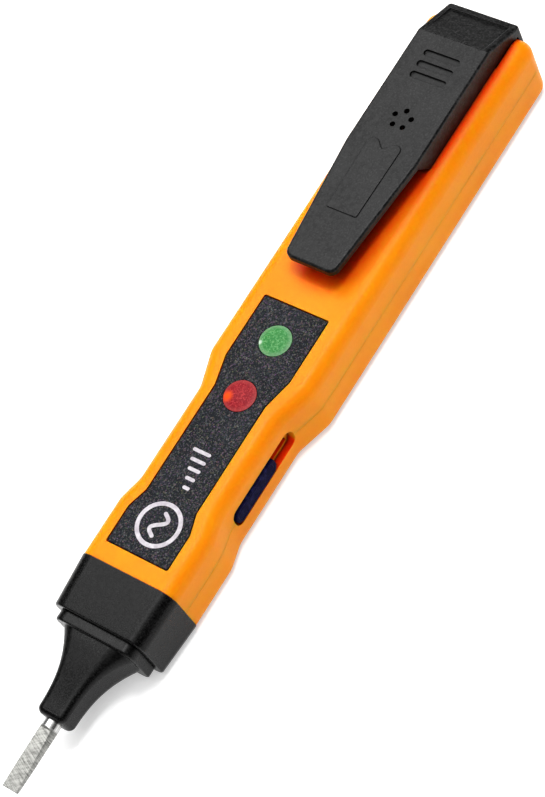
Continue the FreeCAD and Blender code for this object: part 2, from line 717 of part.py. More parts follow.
def buzzer():
    """Round buzzer under the sound holes of the cover."""
    floor = BOARD_Z[1]
    body = post(BUZZER_R, HOLE_RING_X, 0, (floor, floor + BUZZER_HEIGHT))
    rim = edges_at_height(body, floor + BUZZER_HEIGHT)
    body = body.makeFillet(0.4, rim)
    return one(body.cut(post(0.9, HOLE_RING_X, 0, (floor + BUZZER_HEIGHT - 1, THROUGH))))


def shell_screws():
    """Two self-tapping screws with cross-recessed pan heads."""
    screws = []
    for x in SCREW_STATIONS:
        head = post(SCREW_HEAD_R, x, 0, SCREW_HEAD_Z)
        head = head.makeFillet(SCREW_HEAD_ROUND, edges_at_height(head, SCREW_HEAD_Z[0]))
        shank = post(SCREW_SHANK_R, x, 0, (SCREW_HEAD_Z[1], SCREW_TOP_Z - SCREW_TIP_GAP))
        recess_z = (SCREW_HEAD_Z[0] - 1, SCREW_HEAD_Z[0] + CROSS_DEPTH)
        reach, half = CROSS_HALF
        cross = box((x - reach, x + reach), (-half, half), recess_z)
        cross = cross.fuse(box((x - half, x + half), (-reach, reach), recess_z))
        screws.append(one(head.fuse(shank).cut(cross)))
    return Part.makeCompound(screws)


def button_cells():
    """Stack of cells lying along the tester, each with its smaller negative cap."""
    cells = []
    for index in range(CELL_COUNT):
        rear = CELL_REAR - index * CELL_THICKNESS
        front = rear - CELL_THICKNESS
        can = rod(CELL_R, (front + CELL_STEP, rear), 0, CELL_CENTRE_Z)
        can = can.makeFillet(0.3, [e for e in can.Edges if e.Curve.TypeId == "Part::GeomCircle"])
        cap = rod(CELL_R - 1.1, (front, front + CELL_STEP + 0.1), 0, CELL_CENTRE_Z)
        cells.append(one(can.fuse(cap)))
    return Part.makeCompound(cells)


def battery_contact_plate():
    """Flat contact between the last cell and the rear wall."""
    x_range = (CELL_REAR, CELL_REAR + PLATE_THICKNESS)
    return box(x_range, (-CONTACT_HALF_WIDTH, CONTACT_HALF_WIDTH), CONTACT_Z)


def battery_contact_leaf():
    """Bowed spring leaf soldered to the board's end, pressing on the first cell."""
    cell_front = CELL_REAR - CELL_COUNT * CELL_THICKNESS
    back = BOARD_X[1] + 0.1
    points = [
        (back, CONTACT_Z[0]),
        (back + PLATE_THICKNESS, CONTACT_Z[0]),
        (cell_front, CELL_CENTRE_Z - 0.6),
        (cell_front, CELL_CENTRE_Z + 0.6),
        (back + PLATE_THICKNESS, CONTACT_Z[1]),
        (back, CONTACT_Z[1]),
        (cell_front - PLATE_THICKNESS, CELL_CENTRE_Z + 0.5),
        (cell_front - PLATE_THICKNESS, CELL_CENTRE_Z - 0.5),
    ]
    return one(profile_bar(points, CONTACT_HALF_WIDTH))


def moulding_plan():
    """Plan of the cover and clip moulding: a tapered clip, then a cover with parallel sides."""
    half = [
        (CLIP_TIP, -CLIP_TIP_HALF_WIDTH),
        (COVER_ROOT[0], -COVER_HALF_WIDTH),
        (COVER_REAR, -COVER_HALF_WIDTH),
    ]
    half_radii = [CLIP_TIP_CORNER, CLIP_ROOT_CORNER, COVER_REAR_CORNER]
    return mirrored(half), half_radii + half_radii[::-1]


def moulding_block():
    """Outer form of the cover and clip before it is hollowed and parted."""
    outline, radii = moulding_plan()
    plan = level_plate(outline, radii, (COVER_REAR_LOW_Z, TOP_Z))
    arm_low = TOP_Z - CLIP_THICKNESS
    seat = BODY_DEPTH + COVER_GAP
    side = profile_bar(
        [
            (CLIP_TIP - 1, arm_low),
            (COVER_ROOT[0], arm_low),
            (COVER_ROOT[1], seat),
            (SKIRT_STEP, seat),
            (SKIRT_STEP, seat - SKIRT_DEPTH),
            (REAR_NOTCH + COVER_GAP, seat - SKIRT_DEPTH),
            (REAR_NOTCH + COVER_GAP, COVER_REAR_LOW_Z),
            (COVER_REAR, COVER_REAR_LOW_Z),
            (COVER_REAR, COVER_REAR_TOP_Z),
            (COVER_FOLD, TOP_Z),
            (CLIP_TIP - 1, TOP_Z),
        ],
        COVER_HALF_WIDTH + 1,
    )
    block = plan.common(side).removeSplitter()
    rims = [e for e in block.Edges if is_upper_rim(e)]
    return block.makeFillet(COVER_EDGE_R, rims)


def is_upper_rim(edge):
    """True for the edges of the moulding's flat top and of the slope behind it."""
    bounds = edge.BoundBox
    on_top = bounds.ZMin > TOP_Z - CLEARANCE
    on_slope = bounds.XMin > at(COVER_FOLD) - CLEARANCE and bounds.ZMin > COVER_REAR_TOP_Z - CLEARANCE
    return on_top or on_slope


def grip_grooves():
    """Three round-ended thumb grooves across the cover, with broken edges."""
    grooves = []
    for x in GRIP_STATIONS:
        half = [(x - GRIP_HALF_WIDTH, -GRIP_HALF_LENGTH), (x + GRIP_HALF_WIDTH, -GRIP_HALF_LENGTH)]
        radii = [GRIP_HALF_WIDTH - CLEARANCE] * 4
        groove = level_plate(mirrored(half), radii, (TOP_Z - GRIP_DEPTH, TOP_Z))
        grooves.append(groove.makeChamfer(GRIP_CHAMFER, edges_at_height(groove, TOP_Z - GRIP_DEPTH)))
    return grooves


def slope_inset():
    """Shallow wedge taken out of the slope behind the fold, which leaves a thin lip round three sides."""
    run = Vector(COVER_REAR - COVER_FOLD, COVER_REAR_TOP_Z - TOP_Z, 0).normalize()
    out = Vector(-run.y, run.x, 0)
    fold = Vector(COVER_FOLD, TOP_Z, 0)
    floor = [fold + run * along - out * deep for along, deep in zip(INSET_RUN, INSET_DEPTH)]
    above = [fold + run * along + out for along in reversed(INSET_RUN)]
    return profile_bar([(p.x, p.y) for p in floor + above], INSET_HALF_WIDTH)


def battery_cover():
    """Cover that slides off to the rear, with sound holes, thumb grooves and two hooked runners."""
    cover_side = box((COVER_ROOT[0], COVER_REAR + 1), (-THROUGH, THROUGH), (0, THROUGH))
    cover = moulding_block().common(cover_side)
    inner_top = TOP_Z - COVER_WALL
    low = COVER_REAR_LOW_Z - 1
    rear_inside = COVER_REAR - COVER_WALL
    hollow = profile_bar(
        [
            (COVER_ROOT[1] + COVER_WALL, low),
            (COVER_ROOT[1], inner_top),
            (COVER_FOLD - COVER_WALL / 2, inner_top),
            (rear_inside, COVER_REAR_TOP_Z - COVER_WALL / 2),
            (rear_inside, low),
        ],
        COVER_HALF_WIDTH - COVER_WALL,
    )
    cover = cover.cut(hollow)
    parts = [raised_pad().common(cover_side)]
    for side in (-1, 1):
        leg_y = sorted((side * RUNNER_Y[0], side * RUNNER_Y[1]))
        lip_y = sorted((side * RUNNER_Y[0], side * RUNNER_LIP_Y))
        root_y = sorted((side * RUNNER_Y[0], side * (COVER_HALF_WIDTH - 0.1)))
        parts.append(box(RUNNER_X, leg_y, (RUNNER_LIP_Z[0], inner_top + 0.1)))
        parts.append(box(RUNNER_X, lip_y, RUNNER_LIP_Z))
        parts.append(box(RUNNER_X, root_y, (BODY_DEPTH + COVER_GAP, inner_top + 0.1)))
    cover = cover.fuse(parts)
    cuts = grip_grooves() + [slope_inset()]
    for index in range(HOLE_COUNT):
        angle = 2 * math.pi * index / HOLE_COUNT
        x = HOLE_RING_X + HOLE_RING_R * math.cos(angle)
        cuts.append(post(HOLE_R, x, HOLE_RING_R * math.sin(angle), (BODY_DEPTH, THROUGH)))
    return one(cover.cut(cuts))


def raised_pad():
    """Low pad over the clip's root, with a notch between two rounded shoulders at its rear end."""
    half = [(x, -y) for x, y in (PAD_FRONT, PAD_SHOULDER, PAD_CREST)]
    points = half + [(PAD_NOTCH, 0.0)] + [(x, -y) for x, y in reversed(half)]
    half_radii = [PAD_CORNER, PAD_CREST_R, PAD_CREST_R]
    top = TOP_Z + PAD_RISE
    pad = level_plate(points, half_radii + [0.0] + half_radii[::-1], (TOP_Z - PAD_RISE, top))
    return pad.makeChamfer(PAD_BEVEL, edges_at_height(pad, top))


def clip_arm():
    """Springy pocket clip: a flat tapered arm with a grip bump under its tip and a raised pad on top."""
    arm_end = COVER_ROOT[0] - CLIP_GAP
    arm_side = box((CLIP_TIP - 1, arm_end), (-THROUGH, THROUGH), (0, THROUGH))
    arm = moulding_block().common(arm_side)
    arm_low = TOP_Z - CLIP_THICKNESS
    bump_r = (CLIP_BUMP_HEIGHT**2 + CLIP_BUMP_HALF_LENGTH**2) / (2 * CLIP_BUMP_HEIGHT)
    bump_z = arm_low - CLIP_BUMP_HEIGHT + bump_r
    half = CLIP_TIP_HALF_WIDTH - CLIP_BUMP_INSET
    bump = Part.makeCylinder(bump_r, 2 * half, Vector(at(CLIP_BUMP_X), -half, bump_z), Vector(0, 1, 0))
    bump = bump.common(box((CLIP_TIP, arm_end), (-half, half), (0, arm_low + 0.2)))
    return one(arm.fuse([bump, raised_pad().common(arm_side)]))


def build():
    """Write every node to parts/ as a STEP file."""
    nodes = {
        "front_shell": front_shell(),
        "back_shell": back_shell(),
        "label_plate": label_plate(),
        "green_led_lens": indicator_lens(GREEN_X),
        "red_led_lens": indicator_lens(RED_X),
        "green_led": led(GREEN_X),
        "red_led": led(RED_X),
        "led_leads": led_leads(),
        "nose_collar": nose_collar(),
        "nose_cone": nose_cone(),
        "test_blade": test_blade(),
        "blade_contact_leaf": blade_contact_leaf(),
        "circuit_board": circuit_board(),
        "switch_frame": switch_frame(),
        "switch_base": switch_base(),
        "switch_terminals": pins(terminal_spots(), BOARD_Z[1]),
        "switch_lever": switch_lever(),
        "switch_knob": switch_knob(),
        "control_chip": control_chip(),
        "safety_resistor": safety_resistor(),
        "ceramic_capacitors": ceramic_capacitors(),
        "buzzer": buzzer(),
        "buzzer_pins": pins(buzzer_pin_spots(), BOARD_Z[1]),
        "shell_screws": shell_screws(),
        "button_cells": button_cells(),
        "battery_contact_plate": battery_contact_plate(),
        "battery_contact_leaf": battery_contact_leaf(),
        "battery_cover": battery_cover(),
        "clip_arm": clip_arm(),
    }
    os.makedirs("parts", exist_ok=True)
    for name, shape in nodes.items():
        if not shape.isValid():
            raise ValueError(name + " is not a valid solid")
        shape.exportStep("parts/" + name + ".step")
        print(name, round(shape.Volume, 2))


build()
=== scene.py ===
import math

import bmesh
import bpy
from mathutils import Euler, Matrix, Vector


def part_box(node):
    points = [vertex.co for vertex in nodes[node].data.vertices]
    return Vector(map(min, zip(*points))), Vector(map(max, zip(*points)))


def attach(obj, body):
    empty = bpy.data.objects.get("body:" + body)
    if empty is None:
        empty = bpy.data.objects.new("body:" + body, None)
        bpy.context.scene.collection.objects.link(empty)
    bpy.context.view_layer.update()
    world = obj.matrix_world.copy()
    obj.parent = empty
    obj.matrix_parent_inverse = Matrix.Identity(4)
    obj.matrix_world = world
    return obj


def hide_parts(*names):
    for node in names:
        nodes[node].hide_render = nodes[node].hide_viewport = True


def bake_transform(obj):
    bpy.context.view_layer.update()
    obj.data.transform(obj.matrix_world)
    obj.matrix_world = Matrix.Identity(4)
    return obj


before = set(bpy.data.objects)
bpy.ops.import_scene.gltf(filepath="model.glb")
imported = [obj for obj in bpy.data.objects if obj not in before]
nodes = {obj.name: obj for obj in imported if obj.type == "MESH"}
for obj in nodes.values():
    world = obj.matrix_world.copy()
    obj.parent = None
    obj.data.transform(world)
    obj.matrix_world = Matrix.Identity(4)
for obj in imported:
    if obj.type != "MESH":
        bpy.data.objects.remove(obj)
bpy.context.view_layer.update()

# Looks of the pen-shaped voltage tester, in metres: blade along -X, label face up, switch on the -Y side.

MM = 0.001
EVEN = (1.0, 1.0, 1.0)

# Camera: place, turn in degrees, lens and sensor of the photographer's view
CAMERA_PLACE = Vector((-0.1039, -0.2015, 0.3487))
CAMERA_TURN = (28.735, 17.769, -56.647)
CAMERA_LENS = 113.9
CAMERA_SENSOR = 36.0
CAMERA_NEAR = 10 * MM

# Light tent: even radiance, peak overhead and its falloff, the strip along the horizon and its height
TENT_BASE = 0.12
TENT_PEAK = 2.5
TENT_FALLOFF = 9.0
TENT_HORIZON = 0.75
TENT_HORIZON_TOP = (0.02, 0.12)
# Lamps, which all face the tester: name, place, width and radiance
LAMPS = (
    ("softbox", Vector((0.38, 0.54, 0.94)), 0.76, 4.0),
    ("ridge_lamp", Vector((0.27, -0.1, 1.02)), 0.22, 32.0),
    ("nose_lamp", Vector((-0.38, 0.53, 0.88)), 0.28, 5.0),
)

# Display contrast, and the pale floor, which glows a little so that it renders as plain paper
FILM_LOOK = "Medium High Contrast"
FLOOR_GLOW = 0.4
FLOOR_TONES = (0.74, 0.77)
FLOOR_RADIUS = 4.0
FLOOR_SIDES = 96
FLOOR_DROP = 0.02 * MM

# Noise: a narrow and a wide spread of its values, and the stretch that only its peaks reach
NOISE_NARROW = (0.35, 0.65)
NOISE_WIDE = (0.3, 0.7)
NOISE_PEAKS = (0.52, 0.72)
# Limits of the edge mask (likeness of two normals) and of the shelter mask (share of open air)
EDGE_ALIKE = (0.99, 0.86)
OPEN_AIR = (0.96, 0.4)
# How far painted shade reaches beside a neighbour, on the orange and on the black, and how narrow a gap is
# that gets painted dark shade
SHADE_REACH = 6 * MM
BLACK_SHADE_REACH = 5 * MM
PAINTED_CREVICE_SHADE_REACH = 1.3 * MM

# Colours of the materials, in linear light
ORANGE_DEEP = (0.82, 0.262, 0.003, 1)
ORANGE_PALE = (0.87, 0.3, 0.005, 1)
ORANGE_SPECK = (0.97, 0.34, 0.008, 1)
ORANGE_RUBBED = (1.0, 0.42, 0.04, 1)
ORANGE_SHADED = (1.0, 0.06, 0.0, 1)
# Painted shade: the dark brown painted into the housing's narrow gaps
ORANGE_PAINTED_CREVICE_SHADE = (0.2, 0.025, 0.002, 1)
LABEL_DEEP = (0.007, 0.009, 0.012, 1)
LABEL_PALE = (0.012, 0.015, 0.019, 1)
LABEL_GRAIN = (0.1, 0.115, 0.125, 1)
# Painted shade: the dark brown painted along the label's edges
LABEL_PAINTED_RIM_SHADE = (0.01, 0.006, 0.004, 1)
LABEL_TINT_SHARE = 0.16
INK_DULL = (0.44, 0.4, 0.44, 1)
INK_CLEAN = (0.6, 0.57, 0.6, 1)
INK_GRAIN = (0.3, 0.28, 0.31, 1)
# Window colours: deep, pale, rim, and the painted glow
GREEN_GLASS = ((0.035, 0.2, 0.05, 1), (0.14, 0.36, 0.14, 1), (0.2, 0.34, 0.2, 1), (0.8, 0.9, 0.8, 1))
RED_GLASS = ((0.23, 0.006, 0.014, 1), (0.42, 0.04, 0.045, 1), (0.34, 0.06, 0.06, 1), (0.8, 0.09, 0.006, 1))
GREEN_DIODE = ((0.08, 0.45, 0.12, 1), (0.16, 0.6, 0.2, 1))
RED_DIODE = ((0.6, 0.03, 0.02, 1), (0.8, 0.08, 0.05, 1))
GROUND_STEEL = ((0.17, 0.17, 0.162, 1), (0.5, 0.5, 0.475, 1))
DRAWN_STEEL = ((0.42, 0.42, 0.42, 1), (0.6, 0.6, 0.59, 1))
STEEL_BLOTCH = (0.4, 0.39, 0.37, 1)
KNOB_DEEP = (0.002, 0.002, 0.02, 1)
KNOB_PALE = (0.008, 0.008, 0.06, 1)
KNOB_SCUFF = (0.03, 0.03, 0.13, 1)
# Painted highlight: the pale violet painted along the slider's edges
KNOB_PAINTED_EDGE_HIGHLIGHT = (0.1, 0.09, 0.2, 1)
BRASS = ((0.55, 0.36, 0.12, 1), (0.72, 0.5, 0.2, 1))
BRASS_DULL = (0.35, 0.2, 0.08, 1)
METAL_DULL = (0.3, 0.28, 0.25, 1)
LACQUER = ((0.006, 0.075, 0.02, 1), (0.01, 0.11, 0.03, 1))
LACQUERED_TRACK = (0.03, 0.2, 0.05, 1)
BOARD_EDGE = (0.35, 0.3, 0.14, 1)
PHENOLIC = ((0.09, 0.04, 0.015, 1), (0.16, 0.075, 0.03, 1))
CERAMIC = ((0.28, 0.18, 0.09, 1), (0.42, 0.3, 0.17, 1))
RESISTOR_TAN = (0.45, 0.3, 0.15, 1)
RESISTOR_MOTTLE = (0.6, 0.46, 0.28, 1)

# Resistor: where along the body each band starts, with its colour, and how wide a band is
RESISTOR_BANDS = (
    (0.24, (0.12, 0.04, 0.015, 1)),
    (0.4, (0.01, 0.01, 0.01, 1)),
    (0.56, (0.05, 0.25, 0.06, 1)),
    (0.72, (0.5, 0.35, 0.08, 1)),
)
BAND_WIDTH = 0.07

# Windows: where the rim starts and ends from the middle, and where the painted glow on each window sits
WINDOW_RIM = (2.0 * MM, 2.7 * MM)
GREEN_GLOW_PLACE = Vector((-1.3, 2.35, 0.0)) * MM
GREEN_GLOW_RADIUS = 0.6 * MM
RED_GLOW_PLACE = Vector((-0.95, 1.9, 0.0)) * MM
RED_GLOW_RADIUS = 1.3 * MM

# Blade: bare shaft in front of the nose, how softly the flats begin, and the two ways the wheel ran
SHAFT_SHOWN = 1.2 * MM
FLATS_FADE = (0.1 * MM, -0.3 * MM)
WHEEL_TURN = math.radians(24)
COUNTER_TURN = math.radians(-38)

# Meshes: welding distances, the angles under which faces are flat or smooth, and rounded edges
WELD = 1e-7
SLIVER = 1e-6
FACE_REACH = 1e-6
COPLANAR = 0.001
SMOOTH_ANGLE = math.radians(32)
LABEL_BEVEL = 0.1 * MM
BLADE_BEVEL = 0.05 * MM
# Clip: the length in front of its root that is cut into rows so that it can bend, and the number of rows
BEND_LENGTH = 3.5 * MM
BEND_STEPS = 7

# Generic marks printed on the label: an alternating-current sign in a ring, then bars that grow;
# the steps are the points on a full turn, a wave and a rounded end
MARK_LIFT = 0.02 * MM
RING_PLACE = (-28.3 * MM, -0.4 * MM)
RING_RADIUS = 3.7 * MM
RING_STROKE = 0.75 * MM
WAVE_HALF_LENGTH = 2.1 * MM
WAVE_HEIGHT = 1.15 * MM
WAVE_STROKE = 0.7 * MM
BARS_START = -21.0 * MM
BARS_PITCH = 1.6 * MM
BARS_FOOT = -1.3 * MM
BARS_STROKE = 0.62 * MM
BARS_COUNT = 5
BARS_FIRST = 0.75 * MM
BARS_STEP = 0.55 * MM
RING_STEPS = 72
WAVE_STEPS = 24
END_STEPS = 8

# Thumb slider: a rounded block with a fine line round its face (its four insets), and a stem
KNOB_GAP = 0.2 * MM
KNOB_CORNER = 1.45 * MM
KNOB_ROUND = 0.36 * MM
KNOB_LINE = (0.62 * MM, 0.7 * MM, 0.78 * MM, 0.86 * MM)
KNOB_LINE_DEPTH = 0.07 * MM
KNOB_THICKNESS = 1.4 * MM
KNOB_STEPS = 5
CORNER_STEPS = 8
STEM_HALF = (0.95 * MM, 0.9 * MM)
STEM_CORNER = 0.2 * MM
STEM_OVERLAP = 0.1 * MM


def feed(tree, socket, value):
    """Links a socket to another, or sets its value."""
    if isinstance(value, bpy.types.NodeSocket):
        tree.links.new(value, socket)
    else:
        socket.default_value = value


def shader_node(tree, kind, inputs=(), **settings):
    """A shader node with its settings made and its inputs set or linked."""
    made = tree.nodes.new("ShaderNode" + kind)
    for key, value in settings.items():
        setattr(made, key, value)
    for key, value in dict(inputs).items():
        feed(tree, made.inputs[key], value)
    return made


class Finish:
    """A material on one Principled shader, with its node places in the object's own coordinates."""

    def __init__(self, name, fixed=()):
        self.material = bpy.data.materials.new(name)
        self.material.use_nodes = True
        self.tree = self.material.node_tree
        self.shader = self.tree.nodes["Principled BSDF"]
        for socket, value in dict(fixed).items():
            self.shader.inputs[socket].default_value = value
        self.place = self.node("TexCoord").outputs["Object"]

    def node(self, kind, inputs=(), **settings):
        """A node of this material."""
        return shader_node(self.tree, kind, inputs, **settings)

    def scaled(self, size, stretch=EVEN, turn=0.0):
        """Object coordinates divided by a size, longer along each axis by its stretch, turned about Z."""
        place = self.place
        if turn:
            place = self.node("VectorRotate", {"Vector": place, "Angle": turn}, rotation_type="Z_AXIS")
            place = place.outputs["Vector"]
        factors = [1.0 / (size * share) for share in stretch]
        return self.node("VectorMath", {0: place, 1: factors}, operation="MULTIPLY").outputs["Vector"]

    def noise(self, size, detail=2.0, stretch=EVEN, turn=0.0):
        """Soft noise with features of about a size, from 0 to 1."""
        spot = self.scaled(size, stretch, turn)
        made = self.node("TexNoise", {"Vector": spot, "Scale": 1.0, "Detail": detail})
        return made.outputs["Fac"]

    def cells(self, size):
        """Random cells of about a size: the distance from each cell's middle, and its own colour."""
        made = self.node("TexVoronoi", {"Vector": self.scaled(size), "Scale": 1.0})
        return made.outputs["Distance"], made.outputs["Color"]

    def span(self, value, limits, start=0.0, end=1.0):
        """A value's place between two limits, as a share from start to end."""
        low, high = limits
        ports = {"Value": value, "From Min": low, "From Max": high, "To Min": start, "To Max": end}
        return self.node("MapRange", ports).outputs["Result"]

    def calc(self, operation, first, second=0.0):
        """Arithmetic on two values."""
        return self.node("Math", {0: first, 1: second}, operation=operation).outputs["Value"]

    def blend(self, share, first, second):
        """Colour between two others."""
        ports = {0: share, 6: first, 7: second}
        return self.node("Mix", ports, data_type="RGBA").outputs[2]

    def bump(self, height, strength, depth, normal=None):
        """Relief of a height map, on top of another normal."""
        ports = {"Height": height, "Strength": strength, "Distance": depth}
        if normal is not None:
            ports["Normal"] = normal
        return self.node("Bump", ports).outputs["Normal"]

    def edges(self, radius):
        """Normal with softened edges, and a mask that is 1 on the edges."""
        soft = self.node("Bevel", {"Radius": radius}, samples=6).outputs["Normal"]
        flat = self.node("NewGeometry").outputs["Normal"]
        alike = self.node("VectorMath", {0: soft, 1: flat}, operation="DOT_PRODUCT").outputs["Value"]
        return soft, self.span(alike, EDGE_ALIKE)

    def shelter(self, reach):
        """How far the spot is from open air: 0 in the open, 1 deep in a corner or under a neighbour."""
        open_air = self.node("AmbientOcclusion", {"Distance": reach}, samples=8).outputs["AO"]
        return self.span(open_air, OPEN_AIR)

    def upward(self):
        """How far the surface faces the object's +Z: 1 on top, 0 on the sides."""
        facing = self.node("TexCoord").outputs["Normal"]
        return self.node("SeparateXYZ", {"Vector": facing}).outputs["Z"]

    def axis(self, name):
        """One of the object's coordinates."""
        return self.node("SeparateXYZ", {"Vector": self.place}).outputs[name]

    def distance(self, centre):
        """Distance from a point in the object's coordinates."""
        ports = {0: self.place, 1: centre}
        return self.node("VectorMath", ports, operation="DISTANCE").outputs["Value"]

    def done(self, **links):
        """Links the shader's colour, roughness or normal and returns the material."""
        for name, value in links.items():
            feed(self.tree, self.shader.inputs[name.replace("_", " ").title()], value)
        return self.material


def grey(value):
    """Neutral colour."""
    return (value, value, value, 1)


def orange_plastic():
    """Satin orange housing: colour clouds, moulded grain, rubbed edges, painted red shade under neighbours
    and painted dark shade in narrow gaps.
    """
    made = Finish(
        "orange_plastic",
        {
            "Specular IOR Level": 0.12,
            "Subsurface Weight": 0.8,
            "Subsurface Radius": (1.0, 0.22, 0.04),
            "Subsurface Scale": 1.6 * MM,
        },
    )
    clouds = made.noise(14 * MM, 3.0)
    specks = made.noise(0.5 * MM)
    rub = made.noise(3 * MM, 4.0)
    grain = made.noise(0.22 * MM)
    soft, edge = made.edges(0.25 * MM)
    colour = made.blend(made.span(clouds, NOISE_NARROW), ORANGE_DEEP, ORANGE_PALE)
    colour = made.blend(made.span(specks, NOISE_WIDE, 0.0, 0.25), colour, ORANGE_SPECK)
    worn = made.calc("MULTIPLY", edge, made.span(rub, (0.42, 0.66), 0.05, 0.5))
    colour = made.blend(worn, colour, ORANGE_RUBBED)
    shade = made.calc("MULTIPLY", made.shelter(SHADE_REACH), made.span(made.upward(), (0.1, 0.8)))
    colour = made.blend(made.span(shade, (0.2, 0.6), 0.0, 0.95), colour, ORANGE_SHADED)
    # Painted shade: narrow gaps, such as round the label and along seams, are painted dark brown
    painted_crevice_shade = made.span(made.shelter(PAINTED_CREVICE_SHADE_REACH), (0.35, 0.9), 0.0, 0.9)
    colour = made.blend(painted_crevice_shade, colour, ORANGE_PAINTED_CREVICE_SHADE)
    rough = made.span(rub, NOISE_WIDE, 0.34, 0.44)
    rough = made.calc("ADD", rough, made.span(clouds, NOISE_WIDE, -0.03, 0.03))
    relief = made.bump(made.noise(2.5 * MM), 0.05, 0.03 * MM, soft)
    relief = made.bump(grain, 0.12, 0.02 * MM, relief)
    return made.done(base_color=colour, roughness=rough, normal=relief)


def black_plastic(name="black_plastic", grain_size=0.36, grain_strength=0.8, gloss=0.36, tone=0.8):
    """Black moulded plastic: spark-eroded grain, dusty mottling, paler edges that are partly worn and
    partly a painted highlight, and painted shade in corners and beside neighbours.
    """
    made = Finish(name, {"IOR": 1.3})
    clouds = made.noise(7 * MM, 4.0)
    mottle = made.noise(grain_size * 2.6 * MM, 3.0)
    grain = made.noise(grain_size * MM)
    soft, edge = made.edges(0.2 * MM)
    colour = made.blend(made.span(grain, (0.48, 0.7)), grey(0.002 * tone), grey(0.04 * tone))
    dust = made.calc("MULTIPLY", made.span(mottle, (0.42, 0.72)), made.span(clouds, (0.36, 0.62), 0.2, 0.9))
    colour = made.blend(dust, colour, grey(0.03 * tone))
    # Paler edges: partly wear, partly a painted highlight along the rims
    worn = made.calc("MULTIPLY", edge, made.span(clouds, (0.38, 0.62), 0.3, 0.95))
    colour = made.blend(worn, colour, grey(0.08))
    # Painted shade: the colour turns nearly black where neighbours shelter it, as low on the cover's side
    # walls
    shade = made.span(made.shelter(BLACK_SHADE_REACH), (0.0, 0.7), 0.0, 0.9)
    colour = made.blend(shade, colour, grey(0.003))
    rough = made.span(grain, NOISE_WIDE, gloss - 0.06, gloss + 0.1)
    rough = made.calc("ADD", rough, made.span(clouds, NOISE_NARROW, -0.04, 0.04))
    relief = made.bump(mottle, grain_strength * 0.6, 0.05 * MM, soft)
    relief = made.bump(grain, grain_strength, 0.04 * MM, relief)
    return made.done(base_color=colour, roughness=rough, normal=relief)


def speckle(made, size):
    """Speckled grain shared by the label, its print and its windows: brightness, tint and relief height."""
    distance, tint = made.cells(size)
    pick = made.node("SeparateColor", {"Color": tint}).outputs["Red"]
    fine = made.noise(size * 0.8)
    bright = made.calc("MULTIPLY", made.span(pick, (0.3, 1.0)), made.span(fine, NOISE_NARROW))
    return bright, tint, distance


def label_film():
    """Dark label with a coarse speckle, slightly tinted from grain to grain, and painted shade along its
    edges.
    """
    made = Finish("label_film", {"Specular IOR Level": 0.15})
    bright, tint, distance = speckle(made, 0.21 * MM)
    soft, edge = made.edges(0.08 * MM)
    clouds = made.noise(5 * MM)
    dark = made.blend(made.span(clouds, NOISE_NARROW), LABEL_DEEP, LABEL_PALE)
    light = made.blend(LABEL_TINT_SHARE, LABEL_GRAIN, tint)
    colour = made.blend(made.span(bright, (0.0, 0.9), 0.0, 0.5), dark, light)
    # Painted shade: the label's edges are painted dark brown
    colour = made.blend(made.calc("MULTIPLY", edge, 0.7), colour, LABEL_PAINTED_RIM_SHADE)
    rough = made.span(bright, (0.0, 0.7), 0.62, 0.45)
    relief = made.bump(distance, 0.35, 0.05 * MM, soft)
    return made.done(base_color=colour, roughness=rough, normal=relief)


def label_ink():
    """White print with the label's grain showing through."""
    made = Finish("label_ink", {"Specular IOR Level": 0.3})
    bright, _, distance = speckle(made, 0.3 * MM)
    patchy = made.noise(0.9 * MM, 3.0)
    colour = made.blend(made.span(patchy, NOISE_NARROW), INK_DULL, INK_CLEAN)
    colour = made.blend(made.span(bright, (0.3, 1.0), 0.0, 0.3), colour, INK_GRAIN)
    rough = made.span(bright, (0.0, 0.7), 0.5, 0.62)
    relief = made.bump(distance, 0.25, 0.04 * MM)
    return made.done(base_color=colour, roughness=rough, normal=relief)


def window(name, lens, colours, glow_place, glow_radius):
    """Tinted window: speckled like the label, another colour at its rim, with a painted glow off centre."""
    deep, pale, rim_colour, glow = colours
    low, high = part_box(lens)
    centre = Vector(((low.x + high.x) / 2, (low.y + high.y) / 2, high.z))
    fixed = {"Specular IOR Level": 0.12, "Subsurface Weight": 0.1, "Subsurface Scale": 0.4 * MM}
    made = Finish(name, fixed)
    bright, _, distance = speckle(made, 0.24 * MM)
    soft, _ = made.edges(0.1 * MM)
    colour = made.blend(made.span(bright, (0.0, 0.55)), deep, pale)
    rim = made.span(made.distance(centre), WINDOW_RIM, 0.0, 0.6)
    colour = made.blend(rim, colour, rim_colour)
    # Painted glow: a lighter spot off centre, painted into the colour
    spot = made.distance(centre + glow_place)
    lit = made.span(spot, (glow_radius, glow_radius / 4), 0.0, 0.95)
    colour = made.blend(lit, colour, glow)
    rough = made.span(bright, (0.0, 0.7), 0.34, 0.5)
    relief = made.bump(distance, 0.22, 0.04 * MM, soft)
    return made.done(base_color=colour, roughness=rough, normal=relief)


